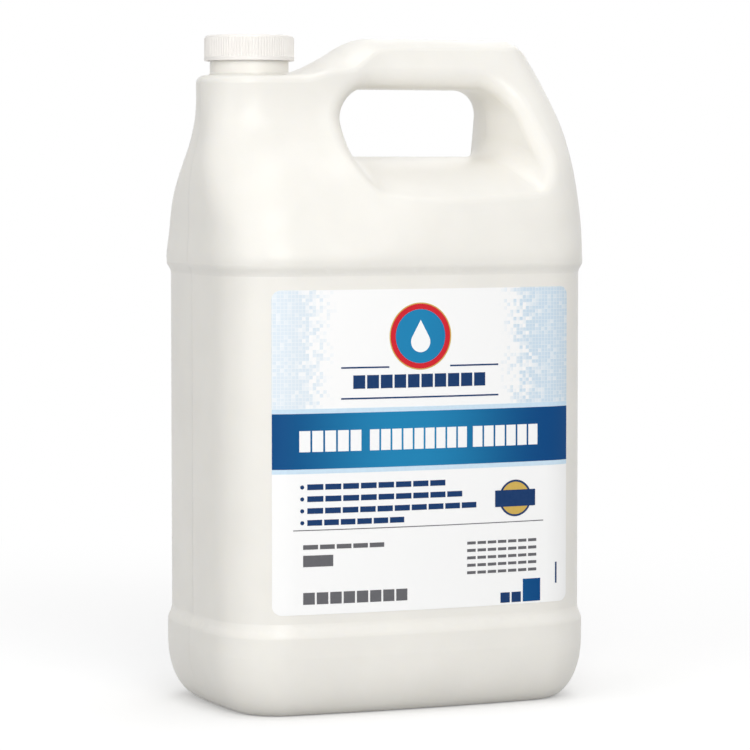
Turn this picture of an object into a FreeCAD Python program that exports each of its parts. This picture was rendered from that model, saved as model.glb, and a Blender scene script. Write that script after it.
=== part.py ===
import FreeCAD, Part
import math
import os

Vector = FreeCAD.Vector
up = Vector(0, 0, 1)

# One-gallon blow-moulded bleach bottle with a loop handle and a ribbed screw cap.
# The origin is the middle of the base, +Z is up, +X points to the rear leg of the
# handle and -Y is the front. All sizes are in millimetres.

# Body
body_width = 180.3
body_depth = 118.0
corner_radius = 31.0
front_bow = 608.0
side_bow = 335.0
wall = 0.9

# Foot, recessed label panel and shoulder ridge
foot_inset = 15.8
foot_round = 27.0
foot_band_top = 35.6
foot_step_height = 6.4
panel_depth = 1.94
ridge_underside = 193.4
ridge_step_height = 4.8
base_recess = 3.5
base_recess_margin = 6.0
base_recess_slope = 7.0
base_recess_round = 14.0

# Upper form: heights above the ridge, each with its inset from the widest outline
west_side = ((0, 0), (12, 0.35), (22, 0.4), (31, 0.6), (39, 1.4), (47, 2.9), (54, 4.6), (62, 5.8), (70, 6.1),
             (106, 6.1))
east_side = ((0, 0), (22, 0.4), (39, 1.2), (47, 1.9), (54, 2.7), (62, 4.2), (70, 6.6), (78, 9.4), (86, 13.0),
             (94, 17.2), (106, 23.5))
tower_side = ((0, 0), (12, 3.0), (22, 7.0), (31, 11.5), (39, 17.2), (47, 24.0), (54, 29.5), (62, 33.4),
              (70, 34.8), (78, 35.1), (106, 35.2))
handle_side = ((0, 0), (12, 1.1), (22, 3.4), (31, 6.7), (39, 10.4), (47, 15.0), (54, 20.5), (62, 26.5),
               (70, 31.8), (78, 36.7), (86, 40.8), (94, 44.2), (106, 47.5))
west_round = ((0, 31), (22, 31), (39, 33), (47, 32), (54, 28), (62, 25), (70, 23.4), (78, 20), (86, 16.5),
              (94, 13), (106, 9.5))
east_round = ((0, 31), (22, 30), (39, 27), (47, 25), (54, 22), (62, 19), (70, 17), (78, 15.5), (94, 12),
              (106, 9.5))
form_heights = (0, 12, 22, 31, 39, 47, 54, 62, 70, 78, 86, 94, 106)
tower_reach = 50.0
tower_fade = 45.0

# Deck round the neck, ramp and grip of the handle
deck_height = 281.6
ramp_foot = 51.4
ramp_slope = 0.62
ramp_foot_blend = 3.0
ramp_top_blend = 5.0
ramp_fade = 26.0
grip_height = 298.7
grip_crown = 20.0
grip_end = 22.8
grip_end_slope = 1.3
grip_end_blend = 6.0
rim_round = 3.5
top_steps = (18, 15)
top_overhang = 4

# Finger hole and the pockets beside it
hole_west = 62.4
hole_west_lean = 5.0
hole_east = 34.6
hole_sweep = 12.0
hole_sweep_end = 1.2
hole_reach = 15.0
hole_top = 276.0
saddle_height = 245.6
saddle_fall = 14.2
saddle_span = 46.0
hole_stations = (-1.6, -1.0, -0.5, 0.0, 0.5, 1.0, 1.6)
hole_rounds = (15.0, 13.0, 9.0, 9.0)
hole_edge_round = 7.0

# Neck finish, 38 mm size with a six-turns-per-inch thread
neck_inset = 29.4
neck_diameter = 35.1
neck_bore = 31.4
neck_height = 15.2
neck_flare = 1.1
neck_step = 0.2
thread_diameter = 37.5
thread_pitch = 4.233
thread_turns = 1.25
thread_root = 2.2
thread_crest = 0.9
thread_lead = 1.6
thread_sink = 0.2
neck_edge = 0.5
neck_root = 0.6
bore_depth = 13.0

# Cap and its seal
cap_diameter = 40.1
cap_height = 11.3
cap_top = 1.5
cap_edge_round = 1.2
cap_band = 1.7
cap_rib_count = 96
cap_rib_depth = 0.3
cap_rib_flat = (0.2, 0.55)
cap_rib_foot = (0.0, 0.75)
cap_clearance = 0.2
thread_clearance = 0.25
thread_play = 0.15
liner_thickness = 1.0
liner_gap = 0.02
liner_clearance = 0.15
rib_clearance = 0.05
cap_thread_turns = 1.0
cap_thread_lead = 2.0

# Labels on the front and back panels
label_width = 142.6
label_middle = 0.7
label_bottom = 46.0
label_height = 141.6
label_round = 4.0
label_thickness = 0.12
label_lift = 0.08
ink_thickness = 0.06
ink_gap = 0.02

# Print on the labels: places across from the middle and up from the base
band_bottom = 109.7
band_height = 24.2
pale_strip = 2.0
badge_across = -2.5
badge_up = 166.8
badge_radius = 14.8
badge_ring = 2.4
badge_rim = 0.5
drop_radius = 4.6
drop_tip = 9.6
drop_sink = 2.467
title_words = ((-58.9, -30.5), (-26.5, 20.0), (23.0, 55.7))
title_up = 117.2
title_height = 9.2
title_block = 4.6
heading_span = (-34.2, 29.1)
heading_up = 144.3
heading_height = 5.9
heading_block = 5.4
rule_height = 0.7
upper_rules = ((-39.8, -17.4), (11.8, 35.6))
upper_rule_up = 153.2
lower_rule = (-39.8, 35.7)
lower_rule_up = 139.7
line_left = -55.3
line_rights = (9.5, 17.8, 24.8, -10.3)
line_top_up = 100.6
line_spacing = 5.2
line_height = 2.5
line_block = 7.0
dot_across = -57.6
dot_radius = 0.9
grey_rule = (-61.7, 58.9)
grey_rule_up = 82.8
grey_rule_height = 0.4
small_left = -57.2
small_right = -19.8
small_up = 74.6
small_height = 2.0
note_square = (-57.2, -43.5)
note_up = 67.0
note_height = 5.0
fine_left = 20.3
fine_right = 55.3
fine_top_up = 73.8
fine_spacing = 3.3
fine_count = 5
fine_height = 1.3
fine_block = 4.6
amount_span = (-57.2, -8.8)
amount_up = 50.5
amount_height = 5.2
corner_word = (37.0, 47.4)
corner_up = 46.9
corner_height = 4.6
flag_span = (48.4, 57.4)
flag_height = 10.2
bar_across = 65.3
bar_up = 54.3
bar_height = 9.5
bar_width = 0.9
seal_across = 44.4
seal_up = 93.6
seal_radius = 8.2
seal_ring = 0.9
seal_bar_width = 20.4
seal_bar_height = 7.4
block_gap = 0.9
back_margin = 12.0
back_top_margin = 20.8
back_bottom_margin = 10.4
back_upper_count = 6
back_lower_count = 8

# How far cutting blocks reach past what they cut, and how finely the outlines are drawn
tool_reach = 1.0
points_per_side = 37
step_rings = 4

# Places that follow from the sizes above
half_width = body_width / 2
half_depth = body_depth / 2
ridge_top = ridge_underside + ridge_step_height
neck_x = neck_inset - half_width
neck_radius = neck_diameter / 2
neck_top = deck_height + neck_height
thread_radius = thread_diameter / 2
neck_thread_start = neck_top - thread_lead - thread_turns * thread_pitch
liner_bottom = neck_top + liner_gap
cap_ceiling = liner_bottom + liner_thickness + liner_gap
cap_bottom = cap_ceiling + cap_top - cap_height
cap_radius = cap_diameter / 2
cap_bore = thread_radius + cap_clearance
label_top = label_bottom + label_height
label_left = label_middle - label_width / 2
label_right = label_middle + label_width / 2
first_ink = label_lift + label_thickness + ink_gap
second_ink = first_ink + ink_thickness + ink_gap


def smooth_step(t):
    t = min(max(t, 0.0), 1.0)
    return t * t * (3 - 2 * t)


def value_at(stations, height):
    """Straight-line value of a station list at a height above the ridge."""
    for (low, first), (high, second) in zip(stations, stations[1:]):
        if height <= high:
            return first + (second - first) * (height - low) / (high - low)
    return stations[-1][1]


def corner_points(reach, depth, round_radius):
    """Ends and middle of the corner round and of half the bowed side, on the front."""
    bow = front_bow * half_depth / depth
    front_radius = bow - round_radius
    side_radius = side_bow - round_radius
    front = (0.0, bow - depth)
    side = (reach - side_bow, 0.0)
    across = side[0] - front[0]
    along = side[1] - front[1]
    gap = math.hypot(across, along)
    foot = (front_radius ** 2 - side_radius ** 2 + gap ** 2) / (2 * gap)
    height = math.sqrt(front_radius ** 2 - foot ** 2)
    middle = (front[0] + foot * across / gap, front[1] + foot * along / gap)
    offset = (height * along / gap, height * across / gap)
    choices = ((middle[0] + offset[0], middle[1] - offset[1]),
               (middle[0] - offset[0], middle[1] + offset[1]))
    corner = (reach - round_radius, round_radius - depth)
    centre = min(choices, key=lambda point: math.dist(point, corner))
    front_angle = math.atan2(centre[1] - front[1], centre[0] - front[0])
    side_angle = math.atan2(centre[1] - side[1], centre[0] - side[0])

    def on_arc(middle_point, radius, angle):
        return (middle_point[0] + radius * math.cos(angle), middle_point[1] + radius * math.sin(angle))

    return (on_arc(front, bow, front_angle),
            on_arc(centre, round_radius, (front_angle + side_angle) / 2),
            on_arc(side, side_bow, side_angle),
            on_arc(side, side_bow, side_angle / 2),
            (reach, 0.0))


def front_edges(z, west, east, depth, west_radius, east_radius):
    """Arcs of the front half of an outline, from the west side round to the east side."""
    middle = (west + east) / 2
    left = [Vector(middle - x, y, z) for x, y in corner_points(middle - west, depth, west_radius)]
    right = [Vector(middle + x, y, z) for x, y in corner_points(east - middle, depth, east_radius)]
    left.reverse()
    front = Vector(middle, -depth, z)
    arcs = ((left[0], left[1], left[2]), (left[2], left[3], left[4]), (left[4], front, right[0]),
            (right[0], right[1], right[2]), (right[2], right[3], right[4]))
    return [Part.Arc(*arc).toShape() for arc in arcs]


def section(z, west, east, tower_depth, handle_depth, west_radius, east_radius):
    """Closed smooth outline at one height, narrower in depth at the tower."""
    front = Part.Wire(front_edges(z, west, east, handle_depth, west_radius, east_radius))
    loop = [(p.x, p.y) for p in front.discretize(Number=points_per_side)]
    loop += [(x, -y) for x, y in reversed(loop[1:-1])]
    outline = []
    for x, y in loop:
        share = smooth_step((x + half_width - tower_reach) / tower_fade)
        depth = tower_depth + (handle_depth - tower_depth) * share
        outline.append(Vector(x, y * depth / handle_depth, z))
    count = len(outline)
    curve = Part.BSplineCurve()
    curve.interpolate(Points=outline, PeriodicFlag=True, Parameters=[i / count for i in range(count + 1)])
    return Part.Wire([curve.toShape()])


def ring(z, inset, radius=None):
    """Outline of the lower body, inset from the widest one."""
    radius = radius or corner_radius - inset
    depth = half_depth - inset
    return section(z, inset - half_width, half_width - inset, depth, depth, radius, radius)


def upper_ring(height, inset):
    """Outline of the upper form at a height above the ridge."""
    west = inset + value_at(west_side, height) - half_width
    east = half_width - inset - value_at(east_side, height)
    tower = half_depth - inset - value_at(tower_side, height)
    handle = half_depth - inset - value_at(handle_side, height)
    return section(ridge_top + height, west, east, tower, handle,
                   value_at(west_round, height) - inset, value_at(east_round, height) - inset)


def form_solid(inset):
    """Body, shoulder, tower and handle as one block, before its top and hole are cut."""
    floor = max(inset, 0.0)
    foot = []
    for step in range(step_rings + 1):
        angle = math.pi / 2 * step / step_rings
        rise = (foot_round - floor) * (1 - math.cos(angle))
        foot.append(ring(floor + rise, inset + foot_inset * (1 - math.sin(angle))))
    lower_step = []
    upper_step = []
    for step in range(step_rings + 1):
        part = step / step_rings
        share = (1 - math.cos(math.pi * part)) / 2
        lower_step.append(ring(foot_band_top + foot_step_height * part, inset + panel_depth * share))
        upper_height = ridge_underside + ridge_step_height * part
        upper_step.append(ring(upper_height, inset + panel_depth * (1 - share)))
    upper = [upper_step[-1]] + [upper_ring(height, inset) for height in form_heights[1:]]
    faces = [Part.Face(foot[0])]
    faces += Part.makeLoft(foot, False, False).Faces
    faces += Part.makeLoft([foot[-1], lower_step[0]], False, True).Faces
    faces += Part.makeLoft(lower_step, False, False).Faces
    faces += Part.makeLoft([lower_step[-1], upper_step[0]], False, True).Faces
    faces += Part.makeLoft(upper_step, False, False).Faces
    faces += Part.makeLoft(upper, False, False).Faces
    faces.append(Part.Face(upper[-1]))
    shell = Part.makeShell(faces)
    shell.sewShape()
    return Part.Solid(shell)


def soft_min(first, second, blend):
    """The lower of two heights, with a round of the given depth where they meet."""
    overlap = max(blend - abs(first - second), 0.0) / blend
    return min(first, second) - overlap ** 2 * blend / 4


def crest_height(x):
    """Height of the deck, ramp and grip along the middle of the bottle."""
    ramp = deck_height + ramp_slope * (x + half_width - ramp_foot)
    rise = -soft_min(-deck_height, -ramp, ramp_foot_blend)
    rear = grip_height + grip_end_slope * (half_width - grip_end - x)
    return soft_min(soft_min(rise, grip_height, ramp_top_blend), rear, grip_end_blend)


def top_tool(inset):
    """Block above the deck, the ramp and the crowned grip."""
    places = []
    for half, steps in zip((half_width, half_depth), top_steps):
        reach = steps + top_overhang
        places.append([half / steps * step for step in range(-reach, reach + 1)])
    rows = []
    for x in places[0]:
        crown = smooth_step((x + half_width - ramp_foot) / ramp_fade) / (2 * grip_crown)
        rows.append([Vector(x, y, crest_height(x) - inset - crown * y ** 2) for y in places[1]])
    surface = Part.BSplineSurface()
    surface.interpolate(rows)
    return surface.toShape().extrude(up * grip_height)


def rounded_loop(corners, rounds):
    """Closed outline through corners, each with its own round."""
    joins = []
    for index, corner in enumerate(corners):
        before = (corners[index - 1] - corner).normalize()
        after = (corners[(index + 1) % len(corners)] - corner).normalize()
        half_angle = before.getAngle(after) / 2
        reach = rounds[index] / math.tan(half_angle)
        inward = (before + after).normalize()
        middle = corner + inward * (rounds[index] / math.sin(half_angle) - rounds[index])
        joins.append((corner + before * reach, middle, corner + after * reach))
    edges = []
    for index, join in enumerate(joins):
        edges.append(Part.Arc(*join).toShape())
        edges.append(Part.makeLine(join[2], joins[(index + 1) % len(joins)][0]))
    return Part.Wire(edges)


def hole_tool(inset):
    """Finger hole and the pockets that open from it to the front and back."""
    west = hole_west - half_width - inset
    east = half_width - hole_east + inset
    loops = []
    for share in hole_stations:
        y = share * saddle_span
        bottom = saddle_height - saddle_fall * share ** 2 - inset
        top = hole_top + inset
        side = east + hole_sweep * smooth_step(abs(share) / hole_sweep_end)
        corners = (Vector(west, y, top), Vector(side, y, top),
                   Vector(side, y, bottom), Vector(west + hole_west_lean, y, bottom))
        loops.append(rounded_loop(corners, [radius + inset for radius in hole_rounds]))
    return Part.makeLoft(loops, True, False)


def recess_tool(grow):
    """Shallow recess under the base, grown by the wall for the inside."""
    margin = foot_inset + base_recess_margin - grow
    rings = [ring(-foot_round, margin, base_recess_round), ring(grow, margin, base_recess_round),
             ring(base_recess + grow, margin + base_recess_slope, base_recess_round)]
    return Part.makeLoft(rings, True, True)


def in_hole_edge(edge):
    """True for the edges where the hole and its pockets leave the outer surface."""
    box = edge.BoundBox
    beside = box.YMax < -grip_crown / 2 or box.YMin > grip_crown / 2
    within = box.XMin > hole_west - half_width - hole_reach and box.XMax < half_width - hole_reach
    return beside and within and box.ZMin > ridge_top and box.ZMax < grip_height - rim_round


def level_split(block):
    """The same block with its faces divided at a level between the deck and the cap."""
    level = (deck_height + cap_bottom) / 2
    corner = Vector(-body_width, -body_depth, 0)
    lower = Part.makePlane(2 * body_width, 2 * body_depth, corner).extrude(up * level)
    return block.common(lower).fuse(block.cut(lower))


def form(inset):
    """Closed outer form of the bottle, or with an inset the space inside it."""
    block = form_solid(inset).cut(top_tool(inset))
    top = max(block.Faces, key=lambda face: face.CenterOfMass.z)
    block = block.makeFillet(rim_round - inset, top.OuterWire.Edges)
    block = block.cut(hole_tool(inset))
    block = block.makeFillet(hole_edge_round - inset, [edge for edge in block.Edges if in_hole_edge(edge)])
    return level_split(block.cut(recess_tool(inset)))


def revolved(outline):
    """Solid turned about the neck axis from a closed outline."""
    return Part.Face(outline).revolve(Vector(neck_x, 0, 0), up, 360)


def disc(radius, bottom, height):
    """Round block about the neck axis."""
    return Part.makeCylinder(radius, height, Vector(neck_x, 0, bottom), up)


def thread(root, crest, start, turn_offset, turns):
    """Helical ridge about the neck axis, from the root radius to the crest radius."""
    helix = Part.makeHelix(thread_pitch, turns * thread_pitch, root)
    sink = thread_sink if crest > root else -thread_sink
    low = Vector(root - sink, 0, -thread_root / 2)
    profile = [low, Vector(crest, 0, -thread_crest / 2), Vector(crest, 0, thread_crest / 2),
               Vector(root - sink, 0, thread_root / 2), low]
    ridge = Part.Wire(helix.Edges).makePipeShell([Part.makePolygon(profile)], True, True)
    ridge.rotate(Vector(0, 0, 0), up, 360 * turn_offset)
    ridge.translate(Vector(neck_x, 0, start))
    return ridge


def neck():
    """Neck with a flared foot, a softened lip and its thread, still solid inside."""
    flare = neck_radius + neck_flare
    foot = Vector(neck_x + flare, 0, deck_height + neck_step)
    bend = foot + Vector(0, 0, neck_flare) - Vector(1, 0, 1) * neck_flare * math.sqrt(0.5)
    corners = (Vector(neck_x + neck_radius, 0, deck_height + neck_step + neck_flare),
               Vector(neck_x + neck_radius, 0, neck_top - neck_edge),
               Vector(neck_x + neck_radius - neck_edge, 0, neck_top),
               Vector(neck_x, 0, neck_top),
               Vector(neck_x, 0, deck_height - neck_root),
               Vector(neck_x + flare, 0, deck_height - neck_root),
               foot)
    outline = Part.Wire([Part.Arc(foot, bend, corners[0]).toShape(), *Part.makePolygon(corners).Edges])
    return revolved(outline).fuse(thread(neck_radius, thread_radius, neck_thread_start, 0, thread_turns))


def bottle():
    """Hollow moulded bottle, its inside one wall within the outer form."""
    outside = form(0.0).fuse(neck())
    inside = form(wall)
    hollow = Part.makeSolid(Part.Compound([outside.Shells[0], inside.Shells[0].reversed()]))
    bore_height = neck_height + bore_depth + tool_reach
    return hollow.cut(disc(neck_bore / 2, deck_height - bore_depth, bore_height))


def cap():
    """Screw cap: ribbed side, plain band at the bottom, rounded top edge and a thread inside."""
    top = cap_ceiling + cap_top
    rib_crest = cap_radius - rib_clearance
    rib_root = rib_crest - cap_rib_depth
    outline = []
    for index in range(cap_rib_count):
        corners = ((cap_rib_foot[0], rib_root), (cap_rib_flat[0], rib_crest),
                   (cap_rib_flat[1], rib_crest), (cap_rib_foot[1], rib_root))
        for share, radius in corners:
            angle = 2 * math.pi * (index + share) / cap_rib_count
            around = Vector(radius * math.cos(angle), radius * math.sin(angle), 0)
            outline.append(Vector(neck_x, 0, cap_bottom + cap_band) + around)
    rib_height = cap_height - cap_band - cap_edge_round
    ribs = Part.Face(Part.makePolygon(outline + [outline[0]])).extrude(up * rib_height)
    shoulder = rib_root - rib_clearance
    dip = cap_edge_round * math.sqrt(0.5)
    side = Vector(neck_x + shoulder, 0, top - cap_edge_round)
    rim = Vector(neck_x + shoulder - cap_edge_round, 0, top)
    bend = Vector(rim.x + dip, 0, side.z + dip)
    corners = (rim, Vector(neck_x, 0, top), Vector(neck_x, 0, side.z), side)
    crown = revolved(Part.Wire([Part.Arc(side, bend, rim).toShape(), *Part.makePolygon(corners).Edges]))
    shell = ribs.fuse([disc(cap_radius, cap_bottom, cap_band), crown])
    shell = shell.cut(disc(cap_bore, cap_bottom - tool_reach, cap_ceiling - cap_bottom + tool_reach))
    inner_crest = neck_radius + thread_clearance
    start = cap_bottom + cap_thread_lead
    taper = (thread_root - thread_crest) * cap_clearance / (cap_bore - inner_crest)
    below = (thread_crest + thread_root - taper) / 2 + thread_play
    turn = (start + below - neck_thread_start) / thread_pitch
    return shell.fuse(thread(cap_bore, inner_crest, start, turn, cap_thread_turns)).removeSplitter()


def cap_liner():
    """Soft sealing disc that sits in the top of the cap and closes the neck."""
    return disc(cap_bore - liner_clearance, liner_bottom, liner_thickness)


def panel_outline(lift):
    """Closed outline of arcs round the recessed panel, a lift above it, at the labels' foot."""
    inset = panel_depth - lift
    depth = half_depth - inset
    radius = corner_radius - inset
    edges = front_edges(label_bottom, inset - half_width, half_width - inset, depth, radius, radius)
    edges += [edge.mirror(Vector(0, 0, 0), Vector(0, 1, 0)) for edge in reversed(edges)]
    return Part.Wire(Part.__sortEdges__(edges))


def skin(lift, thickness):
    """Thin wall that follows the recessed panel all round, a lift above it."""
    outlines = [panel_outline(lift + thickness), panel_outline(lift)]
    return Part.makeFace(outlines, "Part::FaceMakerBullseye").extrude(up * label_height)


def block(left, right, low, height):
    """Rectangle seen from the front, as a block that reaches through the front skin."""
    return Part.makeBox(right - left, half_depth, height, Vector(left, -half_depth - tool_reach, low))


def round_block(across, height_up, radius):
    """Circle seen from the front, as a block that reaches through the front skin."""
    corner = Vector(across, -half_depth - tool_reach, height_up)
    return Part.makeCylinder(radius, half_depth, corner, Vector(0, 1, 0))


def row(left, right, low, height, length):
    """Row of plain blocks that fills a span where a line of print stands."""
    count = max(round((right - left + block_gap) / (length + block_gap)), 1)
    pitch = (right - left + block_gap) / count
    starts = [left + pitch * index for index in range(count)]
    return [block(start, start + pitch - block_gap, low, height) for start in starts]


def drop_block():
    """Plain round drop seen from the front."""
    reach = math.sqrt(drop_tip ** 2 - drop_radius ** 2)
    centre_up = badge_up - drop_sink
    side = drop_radius * reach / drop_tip
    height = drop_radius ** 2 / drop_tip
    front = -half_depth - tool_reach
    right = Vector(badge_across + side, front, centre_up + height)
    left = Vector(badge_across - side, front, centre_up + height)
    bottom = Vector(badge_across, front, centre_up - drop_radius)
    tip = Vector(badge_across, front, centre_up + drop_tip)
    belly = Part.Arc(left, bottom, right).toShape()
    outline = Part.Wire([belly, Part.makeLine(right, tip), Part.makeLine(tip, left)])
    return Part.Face(outline).extrude(Vector(0, half_depth, 0))


def behind(blocks):
    """The same blocks turned round to the back of the bottle."""
    turned = []
    for item in blocks:
        item = item.copy()
        item.rotate(Vector(0, 0, 0), up, 180)
        turned.append(item)
    return turned


def printed(level, blocks):
    """The parts of an ink layer that lie in the blocks."""
    return level.common(Part.Compound(blocks)).Solids


def film():
    """Label blank with rounded corners, seen from the front."""
    blank = block(label_left, label_right, label_bottom, label_height)
    along = [edge for edge in blank.Edges if edge.BoundBox.YLength > half_depth / 2]
    return blank.makeFillet(label_round, along)


def rings(across, height_up, radii):
    """Concentric rings from the outermost radius to the inner disc, with a gap between them."""
    shapes = []
    for outer, inner in zip(radii, radii[1:]):
        hole = round_block(across, height_up, inner)
        shapes.append(round_block(across, height_up, outer - ink_gap).cut(hole))
    shapes.append(round_block(across, height_up, radii[-1] - ink_gap))
    return shapes


solids = {"bottle": bottle(), "cap": cap(), "cap_liner": cap_liner()}

sheet = skin(label_lift, label_thickness)
lower_ink = skin(first_ink, ink_thickness)
upper_ink = skin(second_ink, ink_thickness)
solids["front_label"] = sheet.common(film())
solids["back_label"] = sheet.common(behind([film()])[0])

band = block(label_left, label_right, band_bottom, band_height)
strips = [block(label_left, label_right, band_bottom + band_height + ink_gap, pale_strip),
          block(label_left, label_right, band_bottom - ink_gap - pale_strip, pale_strip)]
badge_rings = rings(badge_across, badge_up,
                    (badge_radius, badge_radius - badge_rim, badge_radius - badge_rim - badge_ring))
seal_disc = round_block(seal_across, seal_up, seal_radius)
seal_edge = seal_disc.cut(round_block(seal_across, seal_up, seal_radius - seal_ring))
seal_bar = block(seal_across - seal_bar_width / 2, seal_across + seal_bar_width / 2,
                 seal_up - seal_bar_height / 2, seal_bar_height)
seal_marks = [seal_edge.fuse(seal_bar)]

titles = []
for left, right in title_words:
    titles += row(left, right, title_up, title_height, title_block)
heading = row(*heading_span, heading_up, heading_height, heading_block)
rules = [block(left, right, upper_rule_up, rule_height) for left, right in upper_rules]
rules.append(block(*lower_rule, lower_rule_up, rule_height))
lines = []
for index, right in enumerate(line_rights):
    low = line_top_up - line_spacing * index
    lines += row(line_left, right, low, line_height, line_block)
    lines.append(round_block(dot_across, low + line_height / 2, dot_radius))
fine_print = []
for index in range(fine_count):
    fine_print += row(fine_left, fine_right, fine_top_up - fine_spacing * index, fine_height, fine_block)
small_print = row(small_left, small_right, small_up, small_height, line_block)
small_print.append(block(*note_square, note_up, note_height))
flag = block(*flag_span, corner_up, flag_height)
plain_navy = heading + rules + lines + row(*corner_word, corner_up, corner_height, heading_block)
plain_navy.append(block(bar_across, bar_across + bar_width, bar_up, bar_height))
grey = [block(*grey_rule, grey_rule_up, grey_rule_height)] + small_print + fine_print
grey += row(*amount_span, amount_up, amount_height, heading_block)

back_lines = []
back_span = (label_left + back_margin, label_right - back_margin)
for index in range(back_upper_count):
    low = label_top - back_top_margin - line_spacing * index
    back_lines += row(*back_span, low, line_height, line_block)
for index in range(back_lower_count):
    low = label_bottom + back_bottom_margin + line_spacing * index
    back_lines += row(*back_span, low, fine_height, line_block)

prints = {
    "blue_print": printed(lower_ink, [band, badge_rings[2], flag] + behind([band])),
    "pale_print": printed(lower_ink, strips + behind(strips)),
    "navy_print": printed(lower_ink, plain_navy) + printed(upper_ink, seal_marks),
    "red_print": printed(lower_ink, [badge_rings[1]]),
    "gold_print": printed(lower_ink, [badge_rings[0], seal_disc]),
    "grey_print": printed(lower_ink, grey + behind(back_lines)),
    "white_print": printed(upper_ink, titles + [drop_block()]),
}
for name, pieces in prints.items():
    solids[name] = Part.Compound(pieces)

os.makedirs("parts", exist_ok=True)
for name, shape in solids.items():
    shape.exportStep("parts/" + name + ".step")
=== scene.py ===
"""Studio look of a white handled bottle with a ribbed screw cap and printed labels."""

import math

import bpy
from bpy.props import FloatProperty, FloatVectorProperty, PointerProperty
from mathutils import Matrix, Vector


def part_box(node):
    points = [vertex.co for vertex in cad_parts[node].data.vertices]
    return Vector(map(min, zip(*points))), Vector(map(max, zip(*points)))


bl_info = {
    "name": "Handled Bottle Studio",
    "version": (1, 0, 0),
    "blender": (4, 5, 0),
    "location": "View3D > Sidebar > Bottle",
    "description": "Moulded bottle, ribbed cap, labels and a plain studio",
    "category": "Object",
}

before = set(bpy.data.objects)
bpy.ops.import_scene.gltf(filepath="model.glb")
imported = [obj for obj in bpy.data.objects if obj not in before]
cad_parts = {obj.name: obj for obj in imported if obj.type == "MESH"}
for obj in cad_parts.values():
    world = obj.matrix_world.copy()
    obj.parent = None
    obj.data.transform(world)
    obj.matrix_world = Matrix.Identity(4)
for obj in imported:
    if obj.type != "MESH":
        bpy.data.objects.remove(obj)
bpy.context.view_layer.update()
MM = 0.001
strip_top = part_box("pale_print")[1].z
bottle_low, bottle_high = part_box("bottle")

# Plastics: the size and depth of their relief, and how much darker their clouds are
ripple_size = 22 * MM
ripple_depth = 0.35 * MM
grain_size = 1.1 * MM
grain_depth = 0.012 * MM
seam_flat = 0.35
cloud_size = 35 * MM
cloud_span = (0.35, 0.7)
cloud_shade = 0.965
cap_grain_size = 0.8 * MM
cap_grain_depth = 0.01 * MM
cap_cloud_size = 6 * MM
cap_cloud_shade = 0.95
pore_size = 0.5 * MM
pore_depth = 0.05 * MM
pore_shade = 0.85

# Label: its fading squares, with their places across from the label's middle, the painted light that
# makes them paler on the left, and its waves
square_gap = 0.16
square_depth = 0.35
left_fade = (34 * MM, 66 * MM)
right_fade = (28 * MM, 62 * MM)
fade_gain = 1.5
fade_end = 0.9
# Painted light: the printed squares are paler on the label's lit left and full strength on its shaded
# right
painted_side_light_span = (-30 * MM, 30 * MM)
painted_side_light_share = 0.65
wave_size = 9 * MM
wave_depth = 0.02 * MM
film_cloud_size = 12 * MM

# Print: the blue band's bright middle and how far its darkening reaches, and the other inks
bright_across = -8 * MM
dark_span = (4 * MM, 70 * MM)
band_cloud_size = 9 * MM
speckle_size = 1.5 * MM
speckle_gain = 1.12
speckle_lift = 0.01
print_specular = 0.1
ink_colours = {
    "navy_print": (0.006, 0.038, 0.135),
    "red_print": (0.62, 0.016, 0.028),
    "gold_print": (0.62, 0.42, 0.10),
    "grey_print": (0.13, 0.13, 0.14),
    "white_print": (0.96, 0.965, 0.97),
    "pale_print": (0.60, 0.75, 0.87),
}

# Stage: the floor, which keeps its shadow near the bottle, and the place and width of each lamp
floor_width = 12.0
floor_grey = 0.52
floor_glow = 0.12
least_clear = 0.12
clear_span = (0.14, 0.7)
seen_rays = ("Is Camera Ray", "Is Glossy Ray", "Is Transmission Ray")
lamp_places = {
    "key": ((-0.4, -1.9, 0.9), 1.3),
    "fill": ((-1.4, -0.8, 0.5), 1.0),
    "back": ((0.9, 1.0, 1.1), 1.0),
    "top": ((0.1, 0.1, 2.6), 1.4),
}


class Value:
    """One number in a material. Arithmetic on it adds Math nodes."""

    def __init__(self, paint, socket):
        self.paint = paint
        self.socket = socket

    def maths(self, operation, *others):
        return self.paint.node("ShaderNodeMath", {"operation": operation}, dict(enumerate(others)))

    def __add__(self, other):
        return self.maths("ADD", self, other)

    def __radd__(self, other):
        return self.maths("ADD", other, self)

    def __sub__(self, other):
        return self.maths("SUBTRACT", self, other)

    def __rsub__(self, other):
        return self.maths("SUBTRACT", other, self)

    def __mul__(self, other):
        return self.maths("MULTIPLY", self, other)

    def __rmul__(self, other):
        return self.maths("MULTIPLY", other, self)

    def __truediv__(self, other):
        return self.maths("DIVIDE", self, other)

    def __pow__(self, other):
        return self.maths("POWER", self, other)

    def __abs__(self):
        return self.maths("ABSOLUTE", self)

    def above(self, other):
        """1 where this number is over the other, else 0."""
        return self.maths("GREATER_THAN", self, other)

    def step(self, start, end):
        """Smooth rise from 0 at start to 1 at end."""
        return self.paint.node("ShaderNodeMapRange", {"interpolation_type": "SMOOTHSTEP"},
                               {"Value": self, "From Min": start, "From Max": end})


class Nodes:
    """The nodes of one material or of the world."""

    def __init__(self, tree):
        self.tree = tree

    def node(self, kind, settings=None, inputs=None, output=0):
        """Any node: its settings first, then the values or links of its sockets."""
        made = self.tree.nodes.new(kind)
        for key, setting in (settings or {}).items():
            setattr(made, key, setting)
        for key, value in (inputs or {}).items():
            self.feed(made.inputs[key], value)
        return Value(self, made.outputs[output])

    def feed(self, socket, value):
        if isinstance(value, Value):
            self.tree.links.new(value.socket, socket)
        else:
            socket.default_value = value

    def either(self, names):
        """1 for the kinds of ray that are named, else 0."""
        share = self.node("ShaderNodeLightPath", output=names[0])
        for name in names[1:]:
            share = share.maths("MAXIMUM", share, self.node("ShaderNodeLightPath", output=name))
        return share


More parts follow.
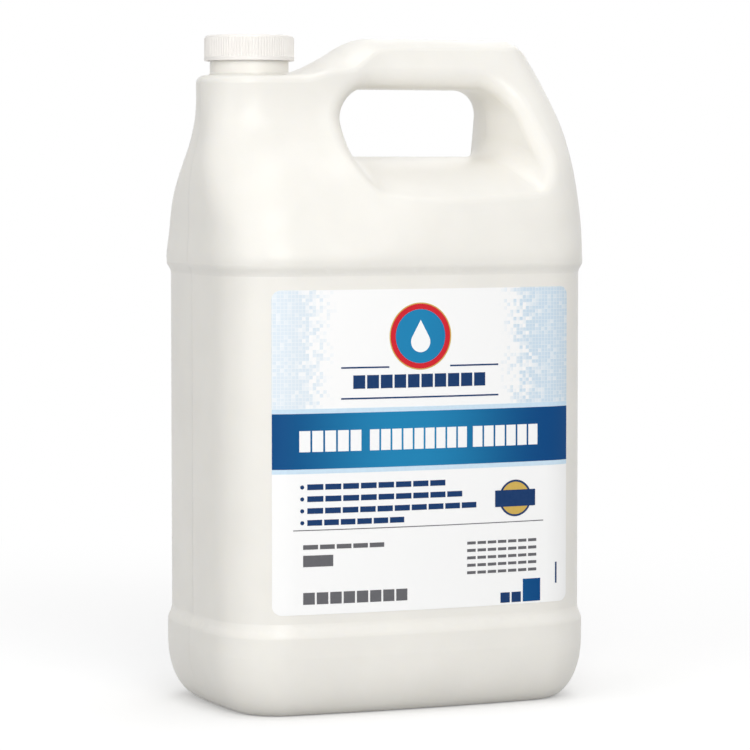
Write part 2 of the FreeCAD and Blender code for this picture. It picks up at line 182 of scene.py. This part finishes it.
class Paint(Nodes):
    """A material under construction."""

    def __init__(self, name):
        self.material = bpy.data.materials.new(name)
        self.material.use_nodes = True
        super().__init__(self.material.node_tree)
        self.surface = self.tree.nodes["Principled BSDF"]
        self.place = self.node("ShaderNodeTexCoord", output="Object")
        self.x, self.y, self.z = (self.node("ShaderNodeSeparateXYZ", inputs={0: self.place}, output=axis)
                                  for axis in "XYZ")

    def noise(self, size, detail=2.0):
        """Soft noise whose lumps are about size metres across."""
        inputs = {"Vector": self.place, "Scale": 1 / size, "Detail": detail}
        return self.node("ShaderNodeTexNoise", inputs=inputs, output="Fac")

    def mix(self, share, first, second):
        """Blend of two colours."""
        return self.node("ShaderNodeMix", {"data_type": "RGBA"},
                         {0: share, 6: (*first, 1.0), 7: (*second, 1.0)}, output=2)

    def bump(self, height, depth, below=None):
        """Surface relief of a given depth in metres, on top of another."""
        inputs = {"Height": height, "Distance": depth, "Strength": 1.0}
        if below is not None:
            inputs["Normal"] = below
        return self.node("ShaderNodeBump", inputs=inputs, output="Normal")

    def finish(self, **sockets):
        """Sets the surface's own sockets and gives the material back."""
        for name, value in sockets.items():
            self.feed(self.surface.inputs[name.replace("_", " ")], value)
        return self.material


def shade(colour, share):
    """A darker tone of a colour."""
    return tuple(channel * share for channel in colour)


def dress(names, material):
    """Gives the CAD nodes a material."""
    for name in names:
        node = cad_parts[name]
        node.data.materials.clear()
        node.data.materials.append(material)


class BottleSizes(bpy.types.PropertyGroup):
    """Colour and surface of the moulded bottle."""

    colour: FloatVectorProperty(name="Plastic", description="Colour of the moulded plastic",
                                subtype="COLOR", size=3, min=0, max=1, default=(0.90, 0.875, 0.815))
    seam: FloatProperty(name="Seam width", description="Half width of the raised mould line",
                        unit="LENGTH", default=0.45 * MM)
    seam_height: FloatProperty(name="Seam height", description="Height of the raised mould line",
                               unit="LENGTH", default=0.25 * MM)


class CapSizes(bpy.types.PropertyGroup):
    """Colour of the cap and its seal."""

    colour: FloatVectorProperty(name="Cap", description="Colour of the screw cap", subtype="COLOR",
                                size=3, min=0, max=1, default=(0.93, 0.90, 0.86))
    seal: FloatVectorProperty(name="Seal", description="Colour of the sealing disc", subtype="COLOR",
                              size=3, min=0, max=1, default=(0.80, 0.80, 0.78))


class LabelSizes(bpy.types.PropertyGroup):
    """Colours of the label film and its inks."""

    film: FloatVectorProperty(name="Film", description="White of the label film", subtype="COLOR",
                              size=3, min=0, max=1, default=(0.985, 0.985, 0.98))
    check: FloatVectorProperty(name="Check", description="Pale blue of the fading squares",
                               subtype="COLOR", size=3, min=0, max=1, default=(0.62, 0.75, 0.86))
    check_size: FloatProperty(name="Check size", description="Pitch of the fading squares",
                              unit="LENGTH", default=1.6 * MM)
    band_middle: FloatVectorProperty(name="Band middle", description="Bright blue at the band's middle",
                                     subtype="COLOR", size=3, min=0, max=1, default=(0.016, 0.235, 0.47))
    band_end: FloatVectorProperty(name="Band ends", description="Dark blue at the band's ends",
                                  subtype="COLOR", size=3, min=0, max=1, default=(0.003, 0.066, 0.225))


class StageSizes(bpy.types.PropertyGroup):
    """Camera, floor and lamps."""

    key: FloatProperty(name="Key light", description="Power of the large front lamp in watts",
                       default=19.5)
    fill: FloatProperty(name="Fill light", description="Power of the side lamp in watts", default=5.0)
    top: FloatProperty(name="Top light", description="Power of the overhead lamp in watts", default=14.0)
    sky: FloatProperty(name="Sky light", description="Strength of the even light from all round",
                       default=0.46)
    lens: FloatProperty(name="Lens", description="Focal length of the camera in millimetres",
                        default=167.64)
    turn: FloatProperty(name="Camera turn", unit="ROTATION", default=math.radians(-23.20),
                        description="Angle of the camera round the bottle from its front")
    down: FloatProperty(name="Camera tilt", description="Angle by which the camera looks down",
                        unit="ROTATION", default=math.radians(3.42))
    distance: FloatProperty(name="Camera distance", unit="LENGTH", default=1585.34 * MM,
                            description="Camera's distance from the bottle's middle line")
    aside: FloatProperty(name="Camera shift", unit="LENGTH", default=0.2285 * MM,
                         description="Camera's place to the right of that line of sight")
    height: FloatProperty(name="Camera height", description="Camera's height over the floor",
                          unit="LENGTH", default=241.231 * MM)


class MakeBottle(bpy.types.Operator):
    """Moulded bottle: satin plastic with faint ripples and a mould line"""

    bl_idname = "bottle.make_bottle"
    bl_label = "Moulded bottle"

    def execute(self, context):
        sizes = context.scene.bottle_sizes
        paint = Paint("bottle_plastic")
        ripple = paint.bump(paint.noise(ripple_size, 1.0), ripple_depth)
        grain = paint.bump(paint.noise(grain_size, 3.0), grain_depth, ripple)
        seam = 1 - abs(paint.y).step(sizes.seam * seam_flat, sizes.seam)
        relief = paint.bump(seam, sizes.seam_height, grain)
        cloud = paint.noise(cloud_size, 3.0)
        darker = shade(sizes.colour, cloud_shade)
        dress(["bottle"], paint.finish(
            Base_Color=paint.mix(cloud.step(*cloud_span), tuple(sizes.colour), darker),
            Roughness=0.30 + 0.10 * cloud, Normal=relief, IOR=1.5,
            Subsurface_Weight=0.12, Subsurface_Scale=2 * MM, Subsurface_Radius=(1.0, 0.85, 0.6)))
        return {"FINISHED"}


class MakeCap(bpy.types.Operator):
    """Ribbed screw cap and its sealing disc"""

    bl_idname = "bottle.make_cap"
    bl_label = "Cap and seal"

    def execute(self, context):
        sizes = context.scene.cap_sizes
        paint = Paint("cap_plastic")
        cloud = paint.noise(cap_cloud_size)
        relief = paint.bump(paint.noise(cap_grain_size), cap_grain_depth)
        darker = shade(sizes.colour, cap_cloud_shade)
        dress(["cap"], paint.finish(Base_Color=paint.mix(cloud, tuple(sizes.colour), darker),
                                    Roughness=0.36 + 0.08 * cloud, Normal=relief, IOR=1.5))
        foam = Paint("liner_foam")
        pores = foam.noise(pore_size, 3.0)
        dress(["cap_liner"], foam.finish(
            Base_Color=foam.mix(pores, tuple(sizes.seal), shade(sizes.seal, pore_shade)),
            Roughness=0.8, Normal=foam.bump(pores, pore_depth)))
        return {"FINISHED"}


class MakeLabels(bpy.types.Operator):
    """White label film with pale squares that fade from its sides, painted paler on the lit left side"""

    bl_idname = "bottle.make_labels"
    bl_label = "Labels"

    def execute(self, context):
        sizes = context.scene.label_sizes
        paint = Paint("label_film")
        column = paint.x / sizes.check_size
        line = paint.z / sizes.check_size
        cell = paint.node("ShaderNodeCombineXYZ", inputs={"X": column.maths("FLOOR", column),
                                                          "Y": line.maths("FLOOR", line)})
        chance = paint.node("ShaderNodeTexWhiteNoise", {"noise_dimensions": "2D"}, {"Vector": cell},
                            "Value")
        square = (column.maths("FRACT", column).above(square_gap)
                  * line.maths("FRACT", line).above(square_gap))
        fade = (0 - paint.x).step(*left_fade) + paint.x.step(*right_fade)
        strength = (fade_gain * fade + chance - 1).step(0.0, fade_end)
        # Painted light: the printed squares are weakened towards the label's lit left and kept full
        # towards its shaded right
        painted_side_light = painted_side_light_share + (1 - painted_side_light_share) * paint.x.step(*painted_side_light_span)
        share = (strength * painted_side_light * paint.z.above(strip_top)
                 * (1 - square_depth + square_depth * square))
        wave = paint.bump(paint.noise(wave_size), wave_depth)
        dress(["front_label", "back_label"], paint.finish(
            Base_Color=paint.mix(share, tuple(sizes.film), tuple(sizes.check)),
            Roughness=0.30 + 0.08 * paint.noise(film_cloud_size), Normal=wave, IOR=1.45))
        return {"FINISHED"}


class MakePrint(bpy.types.Operator):
    """Printed inks of the labels"""

    bl_idname = "bottle.make_print"
    bl_label = "Print"

    def execute(self, context):
        sizes = context.scene.label_sizes
        blue = Paint("blue_ink")
        end = abs(blue.x - bright_across).step(*dark_span)
        dress(["blue_print"], blue.finish(
            Base_Color=blue.mix(end, tuple(sizes.band_middle), tuple(sizes.band_end)),
            Roughness=0.30 + 0.08 * blue.noise(band_cloud_size),
            Specular_IOR_Level=print_specular))
        for name, colour in ink_colours.items():
            ink = Paint(name.replace("print", "ink"))
            speckle = ink.noise(speckle_size)
            lighter = tuple(min(channel * speckle_gain + speckle_lift, 1) for channel in colour)
            dress([name], ink.finish(
                Base_Color=ink.mix(speckle, colour, lighter),
                Roughness=0.32 + 0.08 * speckle, Specular_IOR_Level=print_specular))
        return {"FINISHED"}


class MakeStage(bpy.types.Operator):
    """White floor, soft lamps and the camera"""

    bl_idname = "bottle.make_stage"
    bl_label = "Stage"

    def lamp(self, name, power, target):
        place, width = lamp_places[name]
        data = bpy.data.lights.new(name, "AREA")
        data.shape = "SQUARE"
        data.size = width
        data.energy = power
        made = bpy.data.objects.new(name, data)
        bpy.context.scene.collection.objects.link(made)
        made.location = place
        aim = target - made.location
        made.rotation_euler = aim.to_track_quat("-Z", "Y").to_euler()

    def execute(self, context):
        sizes = context.scene.stage_sizes
        scene = context.scene
        scene.view_settings.view_transform = "Standard"
        bpy.ops.object.select_all(action="DESELECT")
        bpy.ops.mesh.primitive_plane_add(size=floor_width, location=(0, 0, 0))
        floor = context.object
        floor.name = "floor"
        paint = Paint("floor_white")
        seen = paint.either(seen_rays)
        away = (paint.x ** 2 + paint.y ** 2) ** 0.5
        clear = least_clear + (1 - least_clear) * away.step(*clear_span)
        glow = paint.node("ShaderNodeEmission", inputs={"Color": (1, 1, 1, 1), "Strength": 1.0})
        paint.finish(Base_Color=paint.mix(seen, (floor_grey,) * 3, (1.0, 1.0, 1.0)), Roughness=0.9,
                     Specular_IOR_Level=0.1, Emission_Strength=floor_glow,
                     Emission_Color=paint.mix(seen, (0.0, 0.0, 0.0), (1.0, 1.0, 1.0)))
        surface = Value(paint, paint.surface.outputs[0])
        blend = paint.node("ShaderNodeMixShader", inputs={0: clear * seen, 1: surface, 2: glow})
        paint.feed(paint.tree.nodes["Material Output"].inputs["Surface"], blend)
        floor.data.materials.append(paint.material)

        world = bpy.data.worlds.new("studio")
        world.use_nodes = True
        scene.world = world
        air = Nodes(world.node_tree)
        seen = air.either(seen_rays)
        air.feed(air.tree.nodes["Background"].inputs["Color"], (1.0, 1.0, 1.0, 1.0))
        air.feed(air.tree.nodes["Background"].inputs["Strength"], sizes.sky + (1 - sizes.sky) * seen)

        middle = (bottle_low + bottle_high) / 2
        self.lamp("key", sizes.key, middle)
        self.lamp("fill", sizes.fill, middle)
        self.lamp("back", sizes.fill / 2, middle)
        self.lamp("top", sizes.top, middle)

        data = bpy.data.cameras.new("camera")
        data.lens = sizes.lens
        data.sensor_width = 36.0
        data.clip_start = 0.05
        data.clip_end = 50.0
        camera = bpy.data.objects.new("camera", data)
        scene.collection.objects.link(camera)
        across = Vector((math.cos(sizes.turn), math.sin(sizes.turn), 0))
        back = Vector((math.sin(sizes.turn), -math.cos(sizes.turn), 0))
        camera.location = sizes.distance * back + sizes.aside * across + Vector((0, 0, sizes.height))
        camera.rotation_euler = (math.pi / 2 - sizes.down, 0, sizes.turn)
        scene.camera = camera
        return {"FINISHED"}


class BottlePanel(bpy.types.Panel):
    """Lists the steps that dress the bottle"""

    bl_label = "Handled bottle"
    bl_idname = "VIEW3D_PT_handled_bottle"
    bl_space_type = "VIEW_3D"
    bl_region_type = "UI"
    bl_category = "Bottle"

    def draw(self, context):
        scene = context.scene
        for step in steps:
            self.layout.operator(step.bl_idname)
        for sizes in (scene.bottle_sizes, scene.cap_sizes, scene.label_sizes, scene.stage_sizes):
            for name in sizes.__annotations__:
                self.layout.prop(sizes, name)


steps = (MakeBottle, MakeCap, MakeLabels, MakePrint, MakeStage)
groups = {
    "bottle_sizes": BottleSizes,
    "cap_sizes": CapSizes,
    "label_sizes": LabelSizes,
    "stage_sizes": StageSizes,
}


def register():
    for item in (*groups.values(), *steps, BottlePanel):
        bpy.utils.register_class(item)
    for name, group in groups.items():
        setattr(bpy.types.Scene, name, PointerProperty(type=group))


def unregister():
    for name in groups:
        delattr(bpy.types.Scene, name)
    for item in (BottlePanel, *reversed(steps), *reversed(groups.values())):
        bpy.utils.unregister_class(item)


def main():
    register()
    for step in steps:
        family, name = step.bl_idname.split(".")
        getattr(getattr(bpy.ops, family), name)()


if __name__ == "__main__":
    main()
